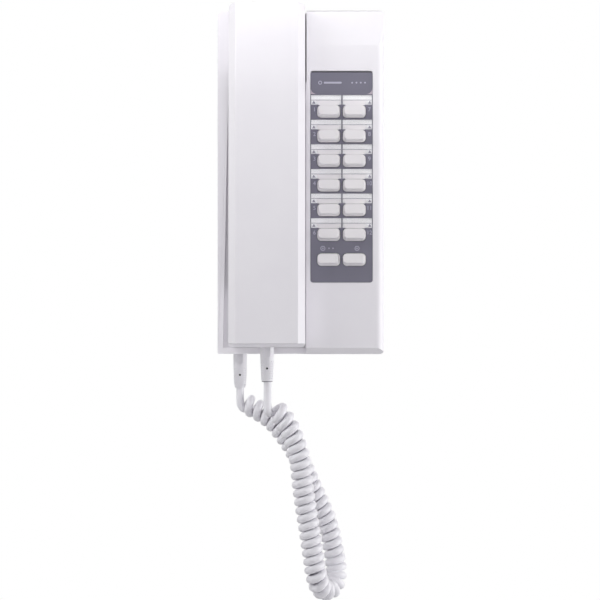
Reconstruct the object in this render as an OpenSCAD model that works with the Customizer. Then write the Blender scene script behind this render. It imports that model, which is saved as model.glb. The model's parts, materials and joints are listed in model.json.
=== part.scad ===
// Slimline handset wall phone with a station key panel.
// Frame: +Z up, the wall is the plane y = 0, the front faces -Y, x = 0 runs down the middle.
// Depths are given as distances in front of the wall.

/* [Base] */
// Width of the base
base_w = 109; // [104:1:114]
// Height of the base
base_h = 225; // [222:1:232]
// Distance of the raised key panel from the wall
panel_depth = 42; // [42:1:44]
// Distance of the cradle floor from the wall
floor_depth = 28; // [28:0.5:29]
// Distance of the cradle rim from the wall
rim_depth = 31; // [30.5:0.5:32]
// Depth of the rear cover
rear_depth = 9; // [8:0.5:9]
// Wall thickness of the covers
wall = 2.2; // [2:0.1:2.4]
// Left edge of the raised panel, from the middle
panel_x = 3.8; // [3.8:0.1:4]

/* [Handset] */
// Width of the handset
handset_w = 49.1; // [48:0.1:49.2]
// Distance of the handset's middle from the base's middle
handset_x = -21.7; // [-21.8:0.1:-21.6]
// Distance of the handset's front face from the wall
face_depth = 66; // [64:1:68]
// Distance of the grip's back from the wall
grip_depth = 42; // [41:0.5:43]
// How far the handset lifts straight off the cradle
lift = 60; // [40:5:80]

/* [Keys] */
// Number of rows of station keys
rows = 6; // [6:1:6]
// Height from one row to the next
row_pitch = 16; // [15.8:0.1:16.2]
// Distance between the two columns
column_pitch = 16.6; // [16.4:0.1:16.8]
// Width of a key's foot
key_w = 14.8; // [14.6:0.1:15]
// Height of a key's foot
key_h = 8; // [7.8:0.1:8.2]
// How far a key stands out of the panel
key_rise = 4.4; // [3:0.1:5]
// Travel of a key
key_travel = 2; // [1:0.1:2]

/* [Cord] */
// Diameter of the cord
cord_d = 5.2; // [4.5:0.1:5.5]
// Outside diameter of the cord's coil
coil_d = 14.5; // [13:0.5:15]

/* [Wall fixing] */
// Distance between the two wall screws
screw_spacing = 83.5; // [60:0.5:85]
// Radius of a wall screw hole
screw_hole_r = 2.25; // [2:0.05:2.5]

/* [Hidden] */

fit_gap = 0.3;               // between pieces of different bodies
left = -base_w / 2;
right = base_w / 2;
top = base_h / 2;
bottom = -base_h / 2;
corner_r = 3.3;

crease_z = 88;               // the panel slants back above this height
top_depth = 34;              // depth of the panel at its top edge
shoulder_depth = rim_depth;         // depth of the low shoulder beside the ear end
panel_wall = 3.8;            // thickness of the panel's own wall
pocket_z = 60;               // lower edge of the ear pocket
pocket_depth = 22.5;         // its floor
pocket_left = handset_x - handset_w / 2 - 0.7;

panel_mid = 26.5;            // middle of the label panel
label_w = 40.4;
label_top = 71.6;
label_bottom = -65.8;
label_back = panel_depth - 1.6;
label_front = panel_depth - 0.4;
first_row_z = 45.3;          // middle of the first row of keys
call_row_z = -50.9;          // middle of the two call keys
card_h = 6.2;
card_w = 18.8;

key_board_back = 27.4;
board_t = 1.6;
switch_top = 31;
key_flange_front = panel_depth - panel_wall - fit_gap;
key_flange_back = key_flange_front - 1;

main_back = 10;              // back of the main board
main_x = [13, 50];
main_z = [-96, 96];

split_depth = 48;            // where the two halves of the handset meet
handset_top = 114;
handset_bottom = -107.5;
shell = 2;                   // wall of the handset shells
ear_z = 88;                  // middle of the ear cap
ear_depth = 24;
mouth_z = -85;
mouth_depth = 29.5;
hook_z = -72;                // the hook plunger
screw_z = [44, -96.5];         // the two handset screws

base_boot_x = -40.2;
base_boot_depth = 18;
base_boot_end = -135.5;
handset_boot_depth = 47;
handset_boot_end = -130;
case_screw_x = [-18, 36];
case_screw_depth = 13;

// Middle of every key: twelve station keys down two columns, then two call keys
function key_place(n) = n <= 2 * rows
    ? [panel_mid + (n <= rows ? -0.5 : 0.5) * column_pitch, first_row_z - ((n - 1) % rows) * row_pitch]
    : [panel_mid + (n == 2 * rows + 1 ? -0.5 : 0.5) * column_pitch, call_row_z];
key_count = 2 * rows + 2;

// Route of the cord: base tail, the coiled length, handset tail
base_tail = [[-40.2, -18, -135.5], [-40.2, -18, -139.5], [-40.2, -18.3, -143.5], [-39.6, -19, -147],
             [-37.8, -19.6, -150]];
coil_route = [[-36, -19.6, -146], [-32.7, -20.5, -147.6], [-26.9, -22, -150.7], [-21.6, -23.3, -153.9],
              [-17.1, -24, -157.9], [-13.1, -24.3, -162.6], [-9.6, -24.4, -167.2], [-6.1, -24.4, -172.2],
              [-1.5, -24.4, -180.5], [2.7, -24.4, -190], [7.1, -24.3, -200], [11.5, -24.2, -210],
              [15.8, -24, -219.6], [18.9, -24, -229.2], [21.2, -24, -240], [22.9, -24, -250],
              [23.4, -25, -257], [22.3, -28, -262.6], [19.8, -31.8, -265.8], [16.6, -36, -266.6],
              [13.5, -40.4, -264.4], [11.2, -44, -259.6], [9.8, -45.7, -254], [8.9, -46, -248],
              [7.4, -46, -237.5], [5.2, -46, -223], [3.4, -46, -212], [2.1, -46, -203],
              [0.9, -46, -193.5], [0, -46, -183.5], [-1.4, -46, -176.3], [-3.2, -46, -169.9],
              [-5.5, -46, -163.8], [-8, -46, -158.6], [-11, -46, -153.8], [-14, -46, -150], [-17, -46, -147]];
handset_tail = [[-20.2, -48, -149.4], [-21.2, -48, -145.5], [-21.4, -47.4, -140.5], [-21.4, -47, -135.5],
                [-21.4, -47, -130]];

// --- helpers -------------------------------------------------------------

// Rectangle with round corners in the X Z plane
module round_rect(x0, x1, z0, z1, r) {
    translate([x0 + r, z0]) square([x1 - x0 - 2 * r, z1 - z0]);
    translate([x0, z0 + r]) square([x1 - x0, z1 - z0 - 2 * r]);
    for (x = [x0 + r, x1 - r]) for (z = [z0 + r, z1 - r]) translate([x, z]) circle(r, $fn = 48);
}

// Extrudes an X Z outline between two depths
module slab(back, front) {
    translate([0, -back, 0]) rotate([90, 0, 0]) linear_extrude(front - back) children();
}

// Extrudes a depth and height outline along X
module side_prism(x0, x1) {
    translate([x0, 0, 0]) rotate([90, 0, 90]) linear_extrude(x1 - x0) children();
}

// Cylinder square to the wall
module rod(x, z, r, back, front, fn = 48) {
    translate([x, -back, z]) rotate([90, 0, 0]) cylinder(r = r, h = front - back, $fn = fn);
}

module tube(x, z, r_in, r_out, back, front) {
    difference() {
        rod(x, z, r_out, back, front);
        rod(x, z, r_in, back - 1, front + 1);
    }
}

module box(x, back, front, z) {
    translate([x[0], -front, z[0]]) cube([x[1] - x[0], front - back, z[1] - z[0]]);
}

function unit(v) = v / norm(v);
// Direction of a route at one of its points
function heading(p, i) = unit(p[min(i + 1, len(p) - 1)] - p[max(i - 1, 0)]);
// One ring of points round a route
function ring(p, i, r, sides) =
    let (t = heading(p, i), a = unit(cross(t, [0.31, 0.93, 0.19])), b = cross(t, a))
    [for (k = [0:sides - 1]) p[i] + r * (cos(360 * k / sides) * a + sin(360 * k / sides) * b)];

// Round tube along a route
module sweep(p, r, sides) {
    n = len(p);
    points = [for (i = [0:n - 1]) each ring(p, i, r, sides)];
    faces = concat(
        [[for (k = [0:sides - 1]) k]],
        [for (i = [0:n - 2]) for (k = [0:sides - 1])
            [i * sides + k, (i + 1) * sides + k, (i + 1) * sides + (k + 1) % sides, i * sides + (k + 1) % sides]],
        [[for (k = [sides - 1:-1:0]) (n - 1) * sides + k]]);
    polyhedron(points, faces);
}

// --- base covers ---------------------------------------------------------

// Height outline of the raised panel, t inside its surface
function panel_profile(t) = [
    [-rear_depth, bottom + t], [-(panel_depth - 6), bottom + t],
    [-(panel_depth - t), bottom + 4.2 + 0.6 * t], [-(panel_depth - t), crease_z],
    [-(top_depth - t), top - t - 1], [-(top_depth - t - 2), top - t], [-rear_depth, top - t]];

// Outline across the raised panel, with its right edge rounded away
function panel_section(t) = concat(
    [[panel_x + t, -rear_depth], [right - t, -rear_depth]],
    [for (a = [0:15:90]) [right - t - 5.6 * (1 - cos(a)), -(panel_depth - t - 7 * (1 - sin(a)))]],
    [[panel_x + t, -(panel_depth - t)]]);

// The front cover's outer form, t inside its surface
module cover_form(t) {
    slab(rear_depth, floor_depth - t) round_rect(left + t, right - t, bottom + t, top - t, corner_r - t / 2);
    intersection() {
        side_prism(left, right) polygon(panel_profile(t));
        translate([0, 0, bottom]) linear_extrude(base_h) polygon(panel_section(t));
        slab(0, panel_depth + 1) round_rect(left, right - t, bottom + t, top - t, corner_r - t / 2);
    }
    slab(rear_depth, shoulder_depth - t)
        round_rect(left + t, panel_x + 6, crease_z - 4 + t, top - t, corner_r - t / 2);
}

module ear_pocket(t) {
    box([pocket_left - t, panel_x + t], pocket_depth - t, panel_depth, [pocket_z - t, top + 1]);
}

module front_cover() color("whitesmoke") {
    difference() {
        union() {
            difference() {
                union() {
                    cover_form(0);
                    slab(floor_depth - 1, rim_depth) polygon([
                        [left, bottom + 1], [left + 3.5, bottom + 1], [pocket_left, crease_z], [left, crease_z]]);
                    slab(floor_depth - 1, rim_depth) round_rect(left, panel_x + 1, bottom, bottom + 4.1, 1);
                }
                difference() {
                    translate([0, 0.01, 0]) cover_form(wall);
                    ear_pocket(wall);
                    box([panel_x, right], panel_depth - panel_wall, panel_depth, [bottom + 6, crease_z - 2]);
                }
                ear_pocket(0);
            }
            for (x = panel_post_x) for (z = panel_post_z)
                rod(x, z, 3, key_board_back + board_t, panel_depth - panel_wall + 1);
            for (x = case_screw_x) box([x - 5, x + 5], rear_depth + 0.5, floor_depth - 1, [bottom + 1, bottom + 3.6]);
        }
        slab(label_back - 0.1, panel_depth + 1)
            round_rect(panel_mid - label_w / 2 - 0.1, panel_mid + label_w / 2 + 0.1,
                       label_bottom - 0.1, label_top + 0.1, 1.8);
        for (n = [1:key_count]) key_opening(n, 30, panel_depth);
        for (x = panel_post_x) for (z = panel_post_z) rod(x, z, 1.4, key_board_back, panel_depth - 3.2);
        for (x = case_screw_x) {
            translate([x, -case_screw_depth, bottom - 1]) cylinder(r = 1.8, h = 8, $fn = 32);
            translate([x, -case_screw_depth, bottom - 1]) cylinder(r = 3.2, h = 3.1, $fn = 32);
        }
        rod(handset_x, hook_z, 3.05, floor_depth - 5, floor_depth + 1);
        translate([base_boot_x, -base_boot_depth, bottom - 1]) cylinder(r = 4.75, h = 6, $fn = 48);
    }
}

panel_post_x = [10, 44];
panel_post_z = [61, -60.5];

module key_opening(n, back, front) {
    place = key_place(n);
    slab(back, front)
        round_rect(place[0] - key_w / 2 - fit_gap, place[0] + key_w / 2 + fit_gap,
                   place[1] - key_h / 2 - fit_gap, place[1] + key_h / 2 + fit_gap, 2.9);
}

module rear_cover() color("gainsboro") {
    difference() {
        union() {
            difference() {
                slab(0, rear_depth - 0.2) round_rect(left + 0.8, right - 0.8, bottom + 0.8, top - 0.8, 3);
                slab(2.5, rear_depth) round_rect(left + 3, right - 3, bottom + 3, top - 3, 2);
            }
            difference() {
                slab(2, rear_depth + 2.5) round_rect(left + 2.45, right - 2.45, bottom + 4, top - 2.45, 2.2);
                slab(1, rear_depth + 3) round_rect(left + 4, right - 4, bottom + 5.5, top - 4, 1.5);
            }
            for (x = board_screw_x) for (z = board_screw_z) rod(x, z, 3.2, 2, main_back);
            for (x = case_screw_x)
                box([x - 4, x + 4], 2, case_screw_depth + 4, [bottom + 4, bottom + 13]);
            box([handset_x - 8, handset_x + 8], 2, 7.8, [hook_z - 8, hook_z + 8]);
            tube(sounder_x, sounder_z, 13.2, 15, 2, 6);
            box([base_boot_x - 8, base_boot_x + 8], 2, 11.8, [bottom + 4.6, bottom + 8]);
        }
        for (z = [-0.5, 0.5]) rod(0, z * screw_spacing, screw_hole_r, -1, 5);
        box([-entry_w / 2, entry_w / 2], -1, 5, [-entry_h / 2, entry_h / 2]);
        for (x = board_screw_x) for (z = board_screw_z) rod(x, z, 1.4, 3, main_back + 1);
        for (x = case_screw_x)
            translate([x, -case_screw_depth, bottom + 3]) cylinder(r = 1.4, h = 8.5, $fn = 32);
    }
}

entry_w = 22;                // cable entry in the rear cover
entry_h = 16;
board_screw_x = [17, 46];
board_screw_z = [90, -90];
sounder_x = -29;
sounder_z = 44;

// --- key panel -----------------------------------------------------------

// Low corner of the card above a station key
function card_corner(n) = [
    n <= rows ? panel_mid - 0.5 - card_w : panel_mid + 0.5,
    first_row_z + key_h / 2 + fit_gap + 0.2 - ((n - 1) % rows) * row_pitch];

module card_shapes(inset) {
    for (n = [1:2 * rows]) {
        p = card_corner(n);
        translate([p[0] + inset, p[1] + inset]) square([card_w - 2 * inset, card_h - 2 * inset]);
    }
}

module label_panel() color("dimgray") {
    difference() {
        slab(label_back, label_front)
            round_rect(panel_mid - label_w / 2, panel_mid + label_w / 2, label_bottom, label_top, 1.7);
        for (n = [1:key_count]) key_opening(n, label_back - 1, label_front + 1);
        slab(label_front - 0.8, label_front + 1) card_shapes(0);
    }
}

module name_cards() color("white") slab(label_front - 0.8, label_front - 0.6) card_shapes(0.1);

module card_windows() color("lavender", 0.5) slab(label_front - 0.55, label_front) card_shapes(0.1);

module key(n) {
    x = key_place(n)[0];
    z = key_place(n)[1];
    foot = label_front;
    face = panel_depth + key_rise;
    hull() {
        slab(foot - 0.5, foot) key_outline(x, z, key_w, key_h, 2.6);
        slab(face - 0.2, face) key_outline(x, z + 0.6, key_w - 1.8, key_h - 1.4, 1.5);
    }
    slab(key_flange_front - 0.5, foot - 0.3) key_outline(x, z, key_w, key_h, 2.6);
    slab(key_flange_back, key_flange_front) key_outline(x, z, key_w + 1, key_h + 1.4, 2);
    rod(x, z, 1.7, switch_top + key_travel + fit_gap, key_flange_back + 0.2, 32);
}

module key_outline(x, z, w, h, r) {
    round_rect(x - w / 2, x + w / 2, z - h / 2, z + h / 2, r, $fn = 24);
}

module station_key(n) color("white") key(n);

module call_key(n) color("white") key(2 * rows + n);

module key_board() color("darkgreen") {
    difference() {
        box([6.5, 49.5], key_board_back, key_board_back + board_t - 0.1, [-64.5, 64.5]);
        for (x = panel_post_x) for (z = panel_post_z) rod(x, z, 1.7, 20, 40);
    }
}

module key_switches() color("black") {
    for (n = [1:key_count]) {
        p = key_place(n);
        box([p[0] - 3.2, p[0] + 3.2], key_board_back + board_t - 0.1, switch_top, [p[1] - 3.2, p[1] + 3.2]);
    }
}

module key_springs() color("silver") {
    for (n = [1:key_count])
        tube(key_place(n)[0], key_place(n)[1], 2.1, 2.7, switch_top, key_flange_back);
}

// Pan head screw square to the wall, its head on the side towards the wall
module screw(x, z, seat, shank) {
    difference() {
        union() {
            rod(x, z, 2.7, seat - 2, seat);
            rod(x, z, 1.35, seat - 0.5, seat + shank);
        }
        box([x - 2, x + 2], seat - 2.5, seat - 1.2, [z - 0.3, z + 0.3]);
        box([x - 0.3, x + 0.3], seat - 2.5, seat - 1.2, [z - 2, z + 2]);
    }
}

module key_board_screws() color("silver") {
    for (x = panel_post_x) for (z = panel_post_z) screw(x, z, key_board_back, 8);
}

// --- inside the base -----------------------------------------------------

module main_board() color("darkgreen") {
    difference() {
        box(main_x, main_back, main_back + board_t, main_z);
        for (x = board_screw_x) for (z = board_screw_z) rod(x, z, 1.7, 5, 15);
    }
}

module board_screws() color("silver") {
    for (x = board_screw_x) for (z = board_screw_z)
        translate([0, -2 * (main_back + board_t), 0]) mirror([0, 1, 0]) screw(x, z, main_back + board_t, 7);
}

component_seat = main_back + board_t;

module line_transformer() color("dimgray") {
    box([16, 38], component_seat, component_seat + 14, [-56, -38]);
    box([20, 34], component_seat + 1, component_seat + 12, [-59, -35]);
}

module capacitors() color("midnightblue") {
    for (i = [0:3]) rod(19 + 8.5 * i, 76, 3.6, component_seat, component_seat + 12);
}

module control_chips() color("black") {
    for (z = [-12, 14, 40]) box([22, 30], component_seat, component_seat + 3.6, [z, z + 19]);
}

module ribbon_cable() color("lightgray") {
    box([16, 38], component_seat, key_board_back, [-63.6, -62.8]);
}

module terminal_block() color("ivory") {
    difference() {
        box([-47, -15], 2.5, 13, [-12, 0]);
        for (i = [0:5]) rod(-44.3 + 5.3 * i, -6, 1.4, 7, 14);
    }
}

module terminal_screws() color("goldenrod") {
    for (i = [0:5]) {
        rod(-44.3 + 5.3 * i, -6, 1.35, 8, 13.2);
        rod(-44.3 + 5.3 * i, -6, 2.2, 13, 14.4);
    }
}

module call_sounder() color("black") {
    difference() {
        rod(sounder_x, sounder_z, 13, 2.5, 11);
        rod(sounder_x, sounder_z, 1.5, 9, 12);
    }
}

module hook_switch() color("black") {
    box([handset_x - 6, handset_x + 6], 7.8, 13.5, [hook_z - 4.5, hook_z + 4.5]);
}

module hook_plunger() color("whitesmoke") {
    rod(handset_x, hook_z, 3, 20, mouth_depth - fit_gap);
    rod(handset_x, hook_z, 4.6, 20, 21.3);
    rod(handset_x, hook_z, 2.2, 14, 20.5);
}

module hook_spring() color("silver") tube(handset_x, hook_z, 2.6, 3.4, 13.5, 20);

module case_screws() color("silver") {
    for (x = case_screw_x) {
        translate([x, -case_screw_depth, bottom + 0.1]) cylinder(r = 2.9, h = 2, $fn = 32);
        translate([x, -case_screw_depth, bottom + 2]) cylinder(r = 1.35, h = 8, $fn = 32);
    }
}

// --- boots and cord ------------------------------------------------------

// Tapered strain relief hanging from a wall, with the flange that holds it inside
module boot(x, depth, z_wall, z_end, r_top, r_end, flange_r, wall_t) {
    translate([x, -depth, 0]) rotate_extrude($fn = 48) polygon([
        [0, z_end], [r_end - 0.6, z_end], [r_end, z_end + 0.6], [r_top, z_wall - 4], [r_top, z_wall + wall_t],
        [flange_r, z_wall + wall_t], [flange_r, z_wall + wall_t + 2], [0, z_wall + wall_t + 2]]);
}

module base_boot() color("whitesmoke")
    boot(base_boot_x, base_boot_depth, bottom, base_boot_end, 4.5, 3.4, 6, wall + 0.1);

module handset_boot() color("whitesmoke")
    boot(handset_x, handset_boot_depth, handset_bottom, handset_boot_end, 4.5, 3.6, 6, shell + 1.1);

module cord_tail_base() color("white") sweep(base_tail, cord_d / 2, 10);
module cord_coil() color("white") sweep(coil_route, coil_d / 2, 12);
module cord_tail_handset() color("white") sweep(handset_tail, cord_d / 2, 10);

// --- handset -------------------------------------------------------------

// Depth and height outline of the handset, t inside its surface
function handset_profile(t) = [
    [-(face_depth - t), -104.7 + t], [-(face_depth - t), 55], [-(face_depth - 0.4 - t), 61],
    [-(face_depth - 1.4 - t), 66], [-(face_depth - 10.8 - t), handset_top - 1 - t],
    [-(face_depth - 12.5 - t), handset_top - t], [-(ear_depth + 2 + t), handset_top - t],
    [-(ear_depth + t), handset_top - 2 - t], [-(ear_depth + t), 64 + t],
    [-(grip_depth + t), 50 + t], [-(grip_depth + t), -60 - t],
    [-(mouth_depth + t), -67 - t], [-(mouth_depth + t), handset_bottom + 1.5 + t],
    [-(mouth_depth + 1.5 + t), handset_bottom + t], [-(split_depth), handset_bottom + t]];

// Outline across the handset, bevelled along its front edges; spread carries the bevels out past the sides
module handset_section(t, spread) {
    w = handset_w / 2 - t + 2.2 * spread;
    side = face_depth - 8 - 5.6 * spread;
    half = [[w, -side], [handset_w / 2 - t - 2.2, -(face_depth - 2.4 - t)],
            [handset_w / 2 - t - 6.8, -(face_depth + 2.4 - t)]];
    polygon(concat([[-w, 30], [w, 30]], half, [for (i = [2:-1:0]) [-half[i][0], half[i][1]]]));
}

slant_fall = (10.8 - 1.4) / (handset_top - 1 - 66);      // how fast the upper face falls back
bend_z = 66 - 1.4 / slant_fall;                          // where it would leave the main face

// The handset's outer form, t inside its surface: one straight bar and one turned about the bend
module handset_form(t) {
    intersection() {
        side_prism(-60, 60) polygon(handset_profile(t));
        translate([handset_x, 0, -150]) linear_extrude(300) handset_section(t, 0);
        translate([handset_x, -face_depth, bend_z]) rotate([-atan(slant_fall), 0, 0])
            translate([0, face_depth, -200]) linear_extrude(300) handset_section(t, 1);
    }
}

module handset_shell() {
    difference() {
        handset_form(0);
        handset_form(shell);
    }
}

module front_half(gap) box([-60, 20], split_depth + gap, 80, [-130, 130]);
module rear_half(gap) box([-60, 20], 0, split_depth - gap, [-130, 130]);

module handset_front() color("whitesmoke") {
    difference() {
        union() {
            intersection() {
                handset_shell();
                front_half(0.1);
            }
            for (z = screw_z) rod(handset_x, z, 3.2, split_depth + 0.1, face_depth - shell + 0.5);
        }
        for (z = screw_z) rod(handset_x, z, 1.4, split_depth - 1, face_depth - 4);
        boot_bore();
    }
}

// Hole for the boot, half in each shell
module boot_bore() {
    translate([handset_x, -handset_boot_depth, handset_bottom - 1]) cylinder(r = 4.6, h = 5, $fn = 48);
}

module handset_rear() color("whitesmoke") {
    difference() {
        union() {
            intersection() {
                handset_shell();
                rear_half(0.1);
            }
            intersection() {
                for (z = screw_z) rod(handset_x, z, 5, mouth_depth, split_depth - 0.1);
                handset_form(0);
            }
        }
        for (z = screw_z) {
            rod(handset_x, z, 1.8, 20, split_depth + 1);
            rod(handset_x, z, 3.4, 20, split_depth - 3);
        }
        rod(handset_x, ear_z, 20.1, 20, ear_depth + 1.2);
        rod(handset_x, ear_z, 16.4, 20, ear_depth + 3);
        slab(20, mouth_depth + 1) mouth_outline(0.1);
        slab(20, mouth_depth + 3) mouth_outline(-1.2);
        boot_bore();
    }
}

module mouth_outline(grow) {
    round_rect(handset_x - 12 - grow, handset_x + 12 + grow, mouth_z - 5 - grow, mouth_z + 5 + grow, 2);
}

module ear_cap() color("whitesmoke") {
    difference() {
        rod(handset_x, ear_z, 20, ear_depth, ear_depth + 1.2, 96);
        rod(handset_x, ear_z, 1.1, 20, 30, 24);
        for (ring = [1:2]) for (k = [0:6 * ring - 1])
            rod(handset_x + 4 * ring * cos(60 * k / ring), ear_z + 4 * ring * sin(60 * k / ring), 1.1, 20, 30, 24);
    }
}

module mouth_cap() color("whitesmoke") {
    difference() {
        slab(mouth_depth, mouth_depth + 1) mouth_outline(0);
        for (i = [-2:2]) rod(handset_x + 3.6 * i, mouth_z, 0.9, 20, 40, 24);
    }
}

module receiver_ring() color("darkslategray")
    tube(handset_x, ear_z, 12, 16, ear_depth + 1.2, ear_depth + 2.6);

module receiver() color("silver") rod(handset_x, ear_z, 16, ear_depth + 2.6, ear_depth + 14, 72);

module microphone_seat() color("darkslategray")
    tube(handset_x, mouth_z, 3.9, 5.5, mouth_depth + 3.1, mouth_depth + 8);

module microphone() color("silver") rod(handset_x, mouth_z, 3.9, mouth_depth + 3.3, mouth_depth + 8);

module ballast_bar() color("gray") box([handset_x - 9, handset_x + 9], 56, face_depth - shell, [-36, 30]);

module handset_screws() color("silver") {
    for (z = screw_z) screw(handset_x, z, split_depth - 3, 10);
}

// --- nodes ---------------------------------------------------------------

rear_cover();
front_cover();
label_panel();
name_cards();
card_windows();
key_board();
key_switches();
key_springs();
key_board_screws();
ribbon_cable();
main_board();
board_screws();
line_transformer();
capacitors();
control_chips();
terminal_block();
terminal_screws();
call_sounder();
hook_switch();
hook_spring();
hook_plunger();
case_screws();
base_boot();
cord_tail_base();
cord_coil();
cord_tail_handset();
handset_front();
handset_rear();
ear_cap();
mouth_cap();
receiver();
receiver_ring();
microphone();
microphone_seat();
ballast_bar();
handset_screws();
handset_boot();
for (n = [1:12]) station_key(n);
for (n = [1:2]) call_key(n);
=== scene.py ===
import json
import math
import bpy
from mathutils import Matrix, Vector

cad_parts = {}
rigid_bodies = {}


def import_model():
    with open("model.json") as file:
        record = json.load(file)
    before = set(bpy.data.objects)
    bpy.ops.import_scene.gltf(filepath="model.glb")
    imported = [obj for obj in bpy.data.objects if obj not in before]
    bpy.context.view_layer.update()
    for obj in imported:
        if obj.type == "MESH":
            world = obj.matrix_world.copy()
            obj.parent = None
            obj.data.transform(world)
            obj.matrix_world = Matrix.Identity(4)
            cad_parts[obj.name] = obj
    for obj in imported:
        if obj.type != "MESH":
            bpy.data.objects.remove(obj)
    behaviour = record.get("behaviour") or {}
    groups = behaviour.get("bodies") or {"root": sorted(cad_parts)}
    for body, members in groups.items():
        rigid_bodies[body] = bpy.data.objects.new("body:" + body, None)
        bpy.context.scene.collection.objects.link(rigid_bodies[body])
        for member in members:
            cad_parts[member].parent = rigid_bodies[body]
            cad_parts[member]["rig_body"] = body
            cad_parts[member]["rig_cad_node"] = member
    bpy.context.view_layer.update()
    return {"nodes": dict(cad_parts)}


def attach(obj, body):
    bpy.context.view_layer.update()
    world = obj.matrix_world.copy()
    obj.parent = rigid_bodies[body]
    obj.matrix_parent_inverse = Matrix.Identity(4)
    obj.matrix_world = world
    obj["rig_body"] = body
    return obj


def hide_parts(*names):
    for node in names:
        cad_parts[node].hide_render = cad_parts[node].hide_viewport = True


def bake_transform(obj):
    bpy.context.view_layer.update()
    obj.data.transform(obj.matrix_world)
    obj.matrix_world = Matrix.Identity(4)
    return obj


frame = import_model()
mm = 0.001  # every size below is in millimetres, depth is measured out from the wall


# camera
view = {"place": (-0.46, -1080, -77.15), "lens": 95.93, "sensor": 36}

bpy.ops.object.camera_add(location=[v * mm for v in view["place"]], rotation=(math.radians(90), 0, 0))
camera = bpy.context.object
camera.data.lens = view["lens"]
camera.data.sensor_width = view["sensor"]
bpy.context.scene.camera = camera
print("camera placed")


# materials
class Flow:  # a shader socket that works in sums
    def __init__(self, tree, socket=None):
        self.tree = tree
        self.socket = socket

    def make(self, kind, settings=None, inputs=None, out=0):
        node = self.tree.nodes.new(kind)
        for name, value in (settings or {}).items():
            if name == "stops":
                ramp = node.color_ramp
                while len(ramp.elements) < len(value):
                    ramp.elements.new(0.5)
                for stop, (place, shade) in zip(ramp.elements, value):
                    stop.position = place
                    stop.color = shade
            else:
                setattr(node, name, value)
        for name, value in (inputs or {}).items():
            if isinstance(value, Flow):
                self.tree.links.new(value.socket, node.inputs[name])
            else:
                node.inputs[name].default_value = value
        return Flow(self.tree, node.outputs[out] if node.outputs else None)

    def maths(self, operation, first, second):
        return self.make("ShaderNodeMath", {"operation": operation}, {0: first, 1: second})

    def __add__(self, other):
        return self.maths("ADD", self, other)

    __radd__ = __add__

    def __mul__(self, other):
        return self.maths("MULTIPLY", self, other)

    __rmul__ = __mul__

    def __sub__(self, other):
        return self.maths("SUBTRACT", self, other)

    def __rsub__(self, other):
        return self.maths("SUBTRACT", other, self)

    def __gt__(self, other):
        return self.maths("GREATER_THAN", self, other)

    def __lt__(self, other):
        return self.maths("LESS_THAN", self, other)

    def blend(self, first, second):  # first where self is 0, second where it is 1
        return self.make("ShaderNodeMix", {"data_type": "RGBA"}, {0: self, 6: first, 7: second}, out=2)


def shade(hexes):  # an sRGB colour as the linear one the shader takes
    values = [int(hexes[i:i + 2], 16) / 255 for i in (0, 2, 4)]
    return [v / 12.92 if v <= 0.04045 else ((v + 0.055) / 1.055) ** 2.4 for v in values] + [1]


def newMaterial(name, constants=None):
    material = bpy.data.materials.new(name)
    material.use_nodes = True
    tree = material.node_tree
    shader = tree.nodes["Principled BSDF"]
    for socket, value in (constants or {}).items():
        shader.inputs[socket].default_value = value
    place = Flow(tree).make("ShaderNodeTexCoord", out=3)

    def feed(socket, flow):
        tree.links.new(flow.socket, shader.inputs[socket])
    return material, place, feed


def noise(place, scale, detail=3, rough=0.5):
    return place.make("ShaderNodeTexNoise", None,
                      {"Vector": place, "Scale": scale, "Detail": detail, "Roughness": rough})


def stretched(place, scales):
    return place.make("ShaderNodeMapping", None, {"Vector": place, "Scale": scales})


def bump(height, strength, distance):
    return height.make("ShaderNodeBump", None,
                       {"Height": height, "Strength": strength, "Distance": distance * mm})


plastics = {  # colour, shaded colour, roughness, grain strength, coat
    "coverPlastic": ("efedf1", "e9e6ec", 0.36, 0.10, 0.12),
    "rearPlastic": ("e6e4e8", "dedbe1", 0.46, 0.22, 0),
    "handsetPlastic": ("efedf1", "e8e5eb", 0.33, 0.08, 0.15),
    "keyPlastic": ("efecee", "e6e3e6", 0.34, 0.06, 0.15),
    "labelPlastic": ("6f6d7d", "656372", 0.42, 0.20, 0),
    "bootPlastic": ("eeedf0", "e2e0e6", 0.44, 0.14, 0),
    # painted shade for the lower end of each boot
    "bootEndShade": ("8f8e93", "858489", 0.5, 0.1, 0),
    "cordPlastic": ("f0eff3", "e9e7ed", 0.38, 0.10, 0.05),
    "blackPlastic": ("26262a", "1d1d20", 0.45, 0.30, 0),
    "terminalPlastic": ("3f6d58", "365f4c", 0.42, 0.25, 0),
    "printedMark": ("b9b8c8", "aeadbd", 0.5, 0.05, 0),
    "printedGrey": ("9d9aa8", "918e9d", 0.5, 0.05, 0),
    "cornerPlastic": ("c3b6c2", "b9adb9", 0.45, 0.10, 0),
    "shadowPlastic": ("3a3942", "33323b", 0.5, 0.10, 0),
}


def mouldedPlastic(name):
    colour, shaded, roughness, grain, coat = plastics[name]
    material, place, feed = newMaterial(name, {"Specular IOR Level": 0.5, "Coat Weight": coat,
                                               "Coat Roughness": 0.18})
    broad = noise(place, 22, 2)                      # slow drift of colour over the moulding
    grains = noise(place, 1500, 2, 0.6)              # spark-eroded mould texture
    handled = noise(place, 90, 4, 0.6)               # faint smears from handling
    feed("Base Color", (broad * 0.7 + handled * 0.3).blend(shade(colour), shade(shaded)))
    feed("Roughness", roughness + (handled - 0.5) * 0.10 + (grains - 0.5) * 0.05)
    feed("Normal", bump(grains * 0.8 + broad * 0.2, grain, 0.05))
    return material


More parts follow.
